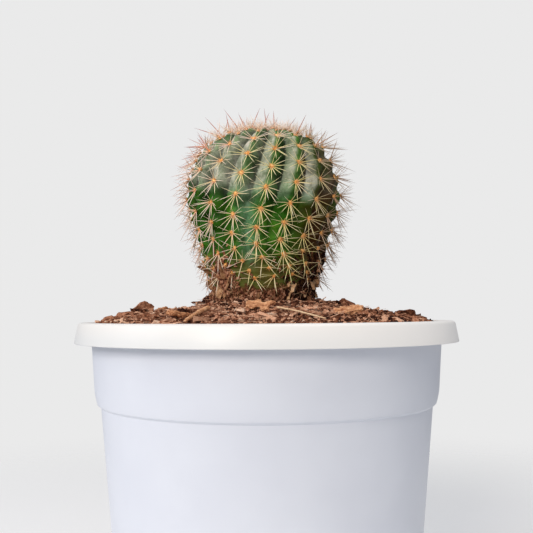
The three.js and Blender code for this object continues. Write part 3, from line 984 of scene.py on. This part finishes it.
def sheenAndBloomAt(offset, azimuth, along):
    # How waxy the skin is, with painted sheen: the grey bloom stands partly for wax and partly for a
    # painted reflection of the window.
    # It lies on the upper half, mostly on the flank of each rib that faces left, and all over the side
    # that faced the window.
    low = 42 + 7 * np.sin(np.radians(azimuth + 60))
    top = smooth(-along, -low - 5, -low + 3) * smooth(along, 4, 14)
    flank = smooth(-offset, 0, 0.2)
    young = 0.6 + 0.4 * smooth(along, 16, 32)
    share = np.clip(0.04 + flank + 0.5 * facing(azimuth, -62) ** 4, 0, 1)
    return top * young * share * (1 - 0.92 * farSide(azimuth, 32, 54, fade=110))


def makeSkinMaterial():
    # Living cactus skin: waxy and tough, deep green, with a grey bloom on the upper half that is partly
    # wax and partly a painted sheen of the window's reflection, painted shade in the furrows and on the
    # flanks facing away from the window, brownish where the sun burnt it and as painted shade on the far
    # side, and dry brown cork at the neck.
    marks = ["furrow", "wax", "burn", "cork"]
    material, tree, shader, read = startMaterial("waxySkin", skin, marks)
    green = addNode(tree, "ValToRGB", {"stops": skin["green"]}, {"Fac": read["cloud"]})
    # Painted shade: the furrows and the far flanks are mixed towards a dark green.
    greenWithFurrowShade = addNode(tree, "Mix", {**colourMix, 7: skin["furrow"]}, {0: read["furrow"], 6: green})
    # Old skin dries to a dull olive near the neck.
    foot = plant["foot"]
    low = {"From Min": (foot + 22) * mm, "From Max": (foot + 10) * mm}
    dry = addNode(tree, "MapRange", low, {"Value": read["z"]})
    scorchAndShade = addNode(tree, "Mix", {**colourMix, 6: skin["scorchedAndShaded"], 7: skin["olive"]}, {0: dry})
    # Sunburn, and on the far side painted shade.
    burntAndShaded = addNode(tree, "Mix", colourMix, {0: read["burn"], 6: greenWithFurrowShade, 7: scorchAndShade})
    # The bloom is broken by fine specks and by worn patches where rain and handling took it off.
    specks = {"From Min": 0.32, "From Max": 0.6, "To Min": 0.6, "To Max": 1}
    worn = addNode(tree, "MapRange", specks, {"Value": read["speck"]})
    patches = {"From Min": 0.4, "From Max": 0.56, "To Min": 0.5, "To Max": 1.1}
    handled = addNode(tree, "MapRange", patches, {"Value": read["cloud"]})
    dusty = addNode(tree, "Math", multiplying, {0: read["wax"], 1: worn})
    # Partly real wax bloom, partly painted sheen.
    bloomAndSheen = addNode(tree, "Math", multiplying, {0: dusty, 1: handled})
    # Lower down the bloom is thin and looks bluish green, as does the painted reflection down the front.
    lower = {"From Min": (foot + 44) * mm, "From Max": (foot + 33) * mm}
    thin = addNode(tree, "MapRange", lower, {"Value": read["z"]})
    wax = addNode(tree, "Mix", {**colourMix, 6: skin["bloomAndSheen"], 7: skin["thinBloomAndSheen"]}, {0: thin})
    waxedAndSheened = addNode(tree, "Mix", colourMix, {0: bloomAndSheen, 6: burntAndShaded, 7: wax})
    # Cork spreads in ragged patches.
    centred = {"operation": "MULTIPLY_ADD", 1: 2.6, 2: -1.3}
    edge = addNode(tree, "Math", centred, {0: read["cloud"]})
    ragged = addNode(tree, "Math", adding, {0: read["cork"], 1: edge})
    patch = addNode(tree, "MapRange", {"From Min": 0.35, "From Max": 0.65}, {"Value": ragged})
    brown = addNode(tree, "ValToRGB", {"stops": skin["cork"]}, {"Fac": read["speck"]})
    colour = addNode(tree, "Mix", colourMix, {0: patch, 6: waxedAndSheened, 7: brown})
    dull = addNode(tree, "MapRange", {"To Min": 0.45, "To Max": 0.95}, {"Value": patch})
    fine = {"Strength": 0.3, "Distance": 0.2 * mm}
    pitted = addNode(tree, "Bump", fine, {"Height": read["pores"]})
    coarse = {"Strength": 0.4, "Distance": 0.6 * mm}
    uneven = addNode(tree, "Bump", coarse, {"Height": read["cloud"], "Normal": pitted})
    plug(tree, shader, {"Base Color": colour, "Roughness": dull, "Normal": uneven})
    return material


def makeBody():
    # A tube with the distance along the crest as its height is spun, then wrapped into the plant.
    rows = crestLength * (np.arange(plant["rows"] + 1) / plant["rows"])
    outline = [(max(np.interp(along, crestTable[0], crestTable[1]), 0), along) for along in rows]
    outline[0] = (0, 0)
    outline += [(radius, crestLength - height) for radius, height in plant["root"]]
    bm = spinOutline(outline, plant["ribs"] * plant["columnsPerRib"])
    place = np.array([vert.co for vert in bm.verts]) / mm
    azimuth = np.degrees(np.arctan2(place[:, 0], -place[:, 1]))
    along = np.minimum(place[:, 2], crestLength)
    ribPlace = azimuth / ribStep
    offset = ribPlace - np.round(ribPlace)
    depth, furrow = skinRelief(ribPlace, along)
    turned = azimuth + plant["frontRib"] + ribTwist(along)
    uneven = np.array([noise.noise(Vector(spot) / plant["unevenSize"]) for spot in place])
    uneven = uneven * plant["uneven"] * smooth(along, 4, 20)
    wrinkle = np.array([noise.noise(Vector((a / 14, s * 0.9, 3))) for a, s in zip(azimuth, along)])
    wrinkle = wrinkle * plant["wrinkle"] * smooth(along, 66, 80)
    point = onPlant(turned, along, depth + uneven * (1 - 0.5 * furrow) + wrinkle)[0]
    below = place[:, 2] > crestLength + 0.01
    root = [place[below, 0] + plant["x"], place[below, 1], plant["foot"] + crestLength - place[below, 2]]
    point[below] = np.stack(root, -1)
    turned = (turned + 180) % 360 - 180
    places = zip(ribPlace, along)
    streak = np.array([noise.fractal(Vector((a * 0.9, s / 26, 7)), 1, 2, 3) for a, s in places])
    wax = sheenAndBloomAt(offset, turned, along) * (1 - 0.2 * furrow) * (1 + 0.8 * streak)
    # Painted reflection: a bluish streak of window light goes on down the front.
    front = np.exp(-(((turned + 13) / 7) ** 2))
    wax = wax + 0.4 * front * smooth(along, 40, 50) * (1 - smooth(along, 70, 80))
    # The sun burnt the lower right, and the neck is burnt all round; on the far side the brown also
    # stands as painted shade.
    low = np.clip(smooth(along, 24, 44) + 0.7 * smooth(turned, 40, 60), 0, 1)
    burn = farSide(turned, 16, 50) * low * (0.88 + 0.6 * streak)
    burn = np.maximum(burn, 0.7 * smooth(along, 68, 79) * (1 + 0.5 * streak))
    # Painted shade: the flank that faces away from the window is darker, and it deepens the painted
    # shade in the furrows.
    shaded = smooth(offset, 0, 0.3) * smooth(along, 6, 16) * (0.75 - 0.3 * smooth(along, 46, 56))
    furrow = np.maximum(furrow * (0.55 + 0.9 * shaded), shaded)
    marks = {
        "furrow": furrow * (1 - 0.4 * smooth(along, 42, 60)),
        "wax": np.clip(wax, 0, 1),
        "burn": np.clip(burn, 0, 1),
        "cork": np.where(below, 1, corkAt(turned, along)),
    }
    for name, values in marks.items():
        layer = bm.verts.layers.float.new(name)
        for vert, value in zip(bm.verts, values):
            vert[layer] = value
    for vert, spot in zip(bm.verts, point):
        vert.co = spot * mm
    bmesh.ops.recalc_face_normals(bm, faces=bm.faces)
    finishPiece("cactus_body", bm, makeSkinMaterial(), ["cactus"])


makeBody()


# Spines and areoles

spine = {
    "seed": 8,
    "first": 2.5,  # mm along the crest to the innermost areole
    "last": 81.5,
    "crownEnd": 25,  # young areoles above this
    "radius": 0.13,
    "sides": 5,
    "roots": 0.4,  # the spines leave the areole this far from its middle
    "sunk": 0.3,  # and start this deep in it
    "fan": 18,  # spines of a young areole
    "longest": 13,
    "longAbove": 34,  # mm along the crest
    "nearSide": 10,  # and areoles further back than this have none
    "longWidth": 0.4,
}
# Degrees round the areole from straight down, degrees off the skin, length and thickness.
ringSpines = [
    (0, 28, 8.6, 1.25),
    (26, 28, 8.4, 1.1),
    (-26, 28, 8.4, 1.15),
    (52, 28, 8.2, 0.95),
    (-54, 28, 8.2, 0.95),
    (78, 28, 8, 0.95),
    (-80, 28, 8, 0.95),
    (100, 28, 7.7, 0.85),
    (-102, 28, 7.7, 0.85),
    (124, 32, 7.2, 0.75),
    (-126, 32, 7.2, 0.75),
    (162, 38, 6.2, 0.7),
]
centralSpines = [(4, 46, 9.2, 1.35), (-64, 60, 8.6, 1.1), (66, 60, 8.6, 1.1), (150, 62, 7.5, 1)]
# The long red-brown spines on the front of the crown, as the camera sees them: the root's x and
# height over the camera, and the tip's, in mm on the upright plane through the pot's axis.
longSpines = [
    (-10.1, 74.6, -16.9, 82.9),
    (-16.9, 71.5, -29.2, 75.3),
    (-23.1, 66.6, -27.7, 73.8),
    (-23.7, 66, -28.1, 71.1),
    (-16.9, 72, -24.5, 79.6),
    (-6.1, 75.3, -2.3, 83.2),
    (1.1, 72.8, -0.5, 83.4),
    (-3.9, 71.5, -8.5, 76.7),
    (12.1, 72, 16.7, 80.7),
    (6.9, 72.4, 12.9, 79.3),
    (-16, 74.5, -15.9, 81),
    (-9.3, 76.4, -11, 81.2),
    (4, 76.6, 3.1, 82.1),
    (18.1, 68.1, 18.4, 77.4),
    (-26, 67, -33.2, 67.3),
    (0, 75.3, 1.5, 81.4),
    (20.1, 67.5, 29.6, 73.1),
    (25.9, 62.4, 29, 70.3),
    (18.3, 71.7, 18.3, 77.1),
    (20.6, 69.3, 24.8, 74.3),
]
horn = {
    "surface": {"Roughness": 0.5, "IOR": 1.54},
    "old": [(0, "#de8a48"), (0.1, "#eebc76"), (0.26, "#f2e596"), (1, "#f5edb8")],
    "pink": [(0, "#f6b890"), (0.25, "#fcdec8"), (0.7, "#ffeee4"), (1, "#f2d2c4")],
    "red": [(0, "#e89c68"), (0.3, "#dc9c80"), (0.7, "#b47068"), (1, "#864a48")],
    # painted shade on the spines of the far side
    "shadedHorn": "#866c38",
}
wool = {
    "surface": {
        "Roughness": 0.95, "Sheen Weight": 0.3, "Sheen Roughness": 0.5, "Specular IOR Level": 0.15
    },
    "patterns": {"felt": (0.4, 3, 0.5)},  # width in mm, detail and roughness
    "worn": [(0.35, "#d27c34"), (0.5, "#f6b058"), (0.65, "#ffdc9c")],
    "fresh": [(0.35, "#e8a07a"), (0.6, "#fad8bc")],
    "width": 2,
    "height": 1.1,
    "hairs": 14,
    "hairLength": 1.2,
    "hairThick": 0.1,
}


def makeSpineMaterial():
    # Dry spine horn, grown smooth: cream, orange where it leaves the areole, pinkish on the side of
    # the window as a painted glow of light through it, red-brown when young, and redder-brown as painted
    # shade on the far side.
    material, tree, shader, read = startMaterial("spineHorn", horn, ["reach", "young"])
    old, pink, red = (
        addNode(tree, "ValToRGB", {"stops": horn[age]}, {"Fac": read["reach"]})
        for age in ("old", "pink", "red")
    )
    # The young mark also carries the painted glow on the window side and the painted shade on the far
    # side.
    halfway = addNode(tree, "MapRange", {"From Max": 0.5}, {"Value": read["young"]})
    beyond = addNode(tree, "MapRange", {"From Min": 0.5}, {"Value": read["young"]})
    pale = addNode(tree, "Mix", colourMix, {0: halfway, 6: old, 7: pink})
    colour = addNode(tree, "Mix", colourMix, {0: beyond, 6: pale, 7: red})
    # Painted shade: spines are mixed towards a dull tan on the side away from the window.
    right = {"From Min": 8 * mm, "From Max": 24 * mm, "To Max": 0.6}
    age = addNode(tree, "MapRange", right, {"Value": read["x"]})
    shadedHorn = addNode(tree, "Mix", {**colourMix, 7: horn["shadedHorn"]}, {0: age, 6: colour})
    plug(tree, shader, {"Base Color": shadedHorn})
    return material


def makeWoolMaterial():
    # Areole wool: short felted hair, orange-tan.
    material, tree, shader, read = startMaterial("areoleWool", wool, ["young"])
    worn, fresh = (
        addNode(tree, "ValToRGB", {"stops": wool[age]}, {"Fac": read["felt"]})
        for age in ("worn", "fresh")
    )
    colour = addNode(tree, "Mix", colourMix, {0: read["young"], 6: worn, 7: fresh})
    plug(tree, shader, {"Base Color": colour})
    return material


def spineShape(bend):  # a tapered needle along +Z, 1 long and 1 thick, with its bend in thicknesses
    bm = bmesh.new()
    outline = [(0, 0), (0.5, 0.01), (0.45, 0.35), (0.34, 0.68), (0, 1)]
    verts = [bm.verts.new((radius, 0, height)) for radius, height in outline]
    spinProfile(verts, bm, spine["sides"], 1e-5)
    reach = bm.verts.layers.float.new("reach")
    for vert in bm.verts:
        vert[reach] = vert.co.z
        vert.co.x += bend * vert.co.z**2
    return toMesh(f"spine{bend}", bm)


def areolePlaces():
    places = []
    for rib in range(plant["ribs"]):
        shift = divergence * rib - round(divergence * rib)
        for number in range(-12, 14):  # these reach past both ends
            along = float(areoleAlong(number - shift))
            if spine["first"] < along < spine["last"]:
                azimuth = rib * ribStep + plant["frontRib"] + float(ribTwist(along))
                places.append((rib, along, azimuth))
    return places


def standing(start, direction, size, turn=0, axis="Z", side="Y"):
    # Stands a shape on a point, with its axis along a direction.
    toward = Vector(direction).to_track_quat(axis, side).to_matrix().to_4x4()
    spun = Matrix.Rotation(turn, 4, axis) @ scaled(size)
    return Matrix.Translation(Vector(start) * mm) @ toward @ spun


def leaning(out, up, right, around, tilt):  # a direction round from straight down, and off the skin
    flat = -up * cos(radians(around)) + right * sin(radians(around))
    return flat * cos(radians(tilt)) + out * sin(radians(tilt))


def youngSpines(draw, along, behind):
    # A young areole has a soft fan of short pale spines, and behind one or two long red-brown ones.
    grow = 0.5 + 0.5 * smooth(along, 3, spine["crownEnd"])
    fan = []
    for i in range(spine["fan"]):
        around = i * 360 / spine["fan"] + draw.gauss(0, 9)
        tilt, length = draw.uniform(20, 75), draw.uniform(4.2, 7.8) * grow
        fan.append((around, tilt, length, draw.uniform(0.5, 0.78), 0.5))
    for i in range(draw.choice([0, 1, 1]) if behind else 0):
        around, tilt = draw.uniform(-180, 180), draw.uniform(30, 75)
        fan.append((around, tilt, draw.uniform(7, 12) * (0.45 + 0.55 * grow), 1.6, 1))
    return fan


def grownSpines(draw, along, azimuth):
    # The side that faced the window has pinker spines, partly a painted glow of the light through them,
    # and the far side redder-brown ones as painted shade.
    window = facing(azimuth, -85)
    away = float(farSide(azimuth, 30, 65))
    blushAndPaintedLight = 0.02 + 0.57 * window**3 + 0.3 * (1 - smooth(along, spine["crownEnd"], 34))
    blushAndPaintedLight = max(blushAndPaintedLight, 0.68 * away)
    # Some are lost at the neck, and more of them on the right.
    lostRight = 0.4 * smooth(azimuth, 10, 45) * smooth(along, 56, 66)
    kept = (0.96 - 0.55 * smooth(along, 69, 78)) * (1 - lostRight) * (1 - 0.25 * away)
    # They stand further out on the far right.
    proud = away * float(smooth(azimuth, 50, 80) * (1 - 0.6 * smooth(along, 62, 74)))
    spines = []
    for around, tilt, length, thick in ringSpines:
        if draw.random() < kept:
            thick = thick * (1 - 0.2 * away + 0.2 * window**4)
            spines.append((around, tilt + 14 * proud, length * (1 + 0.2 * proud), thick, blushAndPaintedLight))
    central = [centralSpines[0]] + draw.sample(centralSpines[1:], draw.choice([0, 1, 1, 2]))
    if draw.random() < kept:
        spines += [(*values, blushAndPaintedLight + 0.1) for values in central]
    return spines


def addLongSpines(draw, bm, needles):
    eye = np.array([0, -camera["distance"], potTop + camera["aboveRim"]])
    crown = [values for values in areolePlaces() if values[1] < spine["longAbove"]]
    roots = [onPlant(azimuth, along, 0)[0] for rib, along, azimuth in crown]
    roots = [root for root in roots if root[1] < spine["nearSide"]]
    seen = [(root - eye) / (root - eye)[1] * camera["distance"] for root in roots]
    for x, height, tipX, tipHeight in longSpines:
        # Each leaves the areole that the camera sees nearest to its root.
        gaps = [hypot(spot[0] - x, spot[2] - height) for spot in seen]
        start = roots[gaps.index(min(gaps))]
        share = (start[1] - eye[1]) / camera["distance"]
        reach = eye + np.array([tipX, camera["distance"], tipHeight]) * share - start
        length = min(float(np.linalg.norm(reach)), spine["longest"])
        size = (spine["longWidth"], spine["longWidth"], length)
        needle = draw.choice(needles)
        stamp(bm, needle, standing(start, reach, size, draw.uniform(0, 2 * pi)), {"young": 1})


def makeSpines():
    draw = random.Random(spine["seed"])
    needles = [spineShape(bend) for bend in (-1.8, -0.8, 0, 0.7, 1.6)]
    hair = spineShape(2.5)
    tufts = [crumbShape(40 + i) for i in range(5)]
    bm = bmesh.new()
    felt = bmesh.new()
    for rib, along, azimuth in areolePlaces():
        depth = skinRelief(float(rib), along)[0]
        point, out, up, right = onPlant(azimuth, along, depth - 0.15)
        neck = float(smooth(along, 72, 86))
        if along < spine["crownEnd"]:
            spines = youngSpines(draw, along, point[1] > 0)
        else:
            spines = grownSpines(draw, along, azimuth)
        for around, tilt, length, thick, red in spines:
            around, tilt = around + draw.gauss(0, 6), min(tilt + draw.gauss(0, 7), 88)
            direction = leaning(out, up, right, around, tilt)
            root = leaning(out, up, right, around, 0) * spine["roots"]
            start = point + root - direction * spine["sunk"]
            long = length * draw.uniform(0.82, 1.14) * (1 - 0.25 * neck)
            wide = 2 * spine["radius"] * thick
            matrix = standing(start, direction, (wide, wide, long), draw.uniform(0, 2 * pi))
            needle = draw.choice(needles)
            stamp(bm, needle, matrix, {"young": min(max(red + draw.gauss(0, 0.1), 0), 1)})
        youth = 1 - float(smooth(along, 8, 30))
        size = (1 + 0.1 * youth) * (1 - 0.3 * neck)
        wide = wool["width"] * size
        tuft = (wide * 0.9, wide, wool["height"] * size)
        base = standing(point, out, tuft, draw.uniform(0, 2 * pi))
        stamp(felt, draw.choice(tufts), base, {"young": youth, "reach": 0})
        for i in range(wool["hairs"]):
            around, tilt = draw.uniform(-180, 180), draw.uniform(15, 85)
            direction = leaning(out, up, right, around, tilt)
            start = point + leaning(out, up, right, around, 0) * 0.3 * wide * cos(radians(tilt))
            length = wool["hairLength"] * draw.uniform(0.6, 1.3)
            size = (wool["hairThick"], wool["hairThick"], length)
            stamp(felt, hair, standing(start, direction, size, draw.uniform(0, 6)), {"young": youth})
    addLongSpines(draw, bm, needles[1:4])
    finishPiece("spines", bm, makeSpineMaterial())
    finishPiece("areole_wool", felt, makeWoolMaterial())


makeSpines()


# Dry debris round the neck

debris = {
    "seed": 21,
    "crumbs": 4300,
    "threads": 150,
    "flakes": 50,
    "dark": (22, 150),  # azimuths between which the crumbs are dark
    "husks": [  # azimuth, along, turn round the skin, degrees off the skin, length, tint
        (-72, 78, 150, 38, 5.5, 0.42),
        (-66, 81, 20, 20, 4.5, 0.35),
        (33, 83, -35, 30, 4.4, 0.72),
        (28, 86, -20, 25, 3.6, 0.6),
        (-44, 76, 10, 18, 5, 0.4),
        (-38, 81, -12, 22, 5.5, 0.45),
        (-50, 84, 5, 25, 5, 0.6),
        (150, 80, 30, 30, 5, 0.6),
        (-150, 83, -30, 28, 5, 0.7),
    ],
}


def makeNeckCrumbs(draw):
    grains = [crumbShape(60 + i) for i in range(8)]
    bm = bmesh.new()
    darkFrom, darkTo = debris["dark"]
    for i in range(debris["crumbs"]):
        kind = draw.random()
        light, dark = draw.uniform(0.26, 0.72), draw.betavariate(1, 4)
        if kind < 0.42:  # the ring where the neck leaves the mix
            azimuth, along = draw.uniform(-180, 180), crestLength + 1 - 4.6 * draw.random() ** 2
        elif kind < 0.82:  # the scab up the right
            azimuth, along = draw.gauss(82, 30), crestLength - 20 * draw.random() ** 1.5
        else:  # the patch on the left
            azimuth, along = draw.gauss(-46, 9), draw.gauss(81, 4.5)
        along = min(along, crestLength)
        proud = draw.uniform(-0.3, 0.9) * float(smooth(along, 60, 84))
        point, out, up, right = onSkin(azimuth, along, proud)
        size = 0.4 + 1.1 * draw.random() ** 2
        matrix = standing(point, out, (size * 0.75, size * 2, size * 0.7), draw.uniform(0, 2 * pi))
        tint = dark if darkFrom < azimuth < darkTo else light
        stamp(bm, draw.choice(grains), matrix, {"tint": tint})
    finishPiece("neck_crumbs", bm, mixMaterial, crisp=True)


def makeNeckFibres(draw):
    flakes = [flakeShape(70 + i) for i in range(5)]
    threads = [threadShape(80 + i, bend, 3) for i, bend in enumerate((1, 2.5, -2, 5, -4))]
    husks = list(debris["husks"])
    for i in range(debris["flakes"]):
        azimuth = draw.choice([draw.uniform(-180, 180), draw.gauss(80, 35)])
        along, around = draw.uniform(80, 88), draw.gauss(0, 40)
        tilt, length = draw.uniform(5, 40), draw.uniform(2, 4)
        husks.append((azimuth, along, around, tilt, length, draw.betavariate(2, 2)))
    bm = bmesh.new()
    for azimuth, along, around, tilt, length, shade in husks:
        point, out, up, right = onSkin(azimuth, along, 0.3)
        direction = leaning(out, up, right, around, tilt)
        middle = point + direction * length * 0.4
        matrix = standing(middle, direction, (length, length, length), 0, "X", "Z")
        stamp(bm, draw.choice(flakes), matrix, {"tint": shade})
    for i in range(debris["threads"]):
        azimuth = draw.choice([draw.uniform(-180, 180), draw.gauss(60, 40), draw.gauss(-45, 15)])
        along = draw.uniform(78, crestLength)
        point, out, up, right = onSkin(azimuth, along, 0.5)
        direction = leaning(out, up, right, draw.gauss(0, 75), draw.uniform(0, 30))
        thick = draw.uniform(0.12, 0.24)
        size = (draw.uniform(2, 6.5), thick, thick)
        matrix = standing(point + direction * 1.5, direction, size, draw.uniform(0, 6), "X", "Z")
        stamp(bm, draw.choice(threads), matrix, {"tint": draw.betavariate(2, 1.8)})
    finishPiece("neck_fibres", bm, strawMaterial, crisp=True)


neckDraw = random.Random(debris["seed"])
makeNeckCrumbs(neckDraw)
makeNeckFibres(neckDraw)
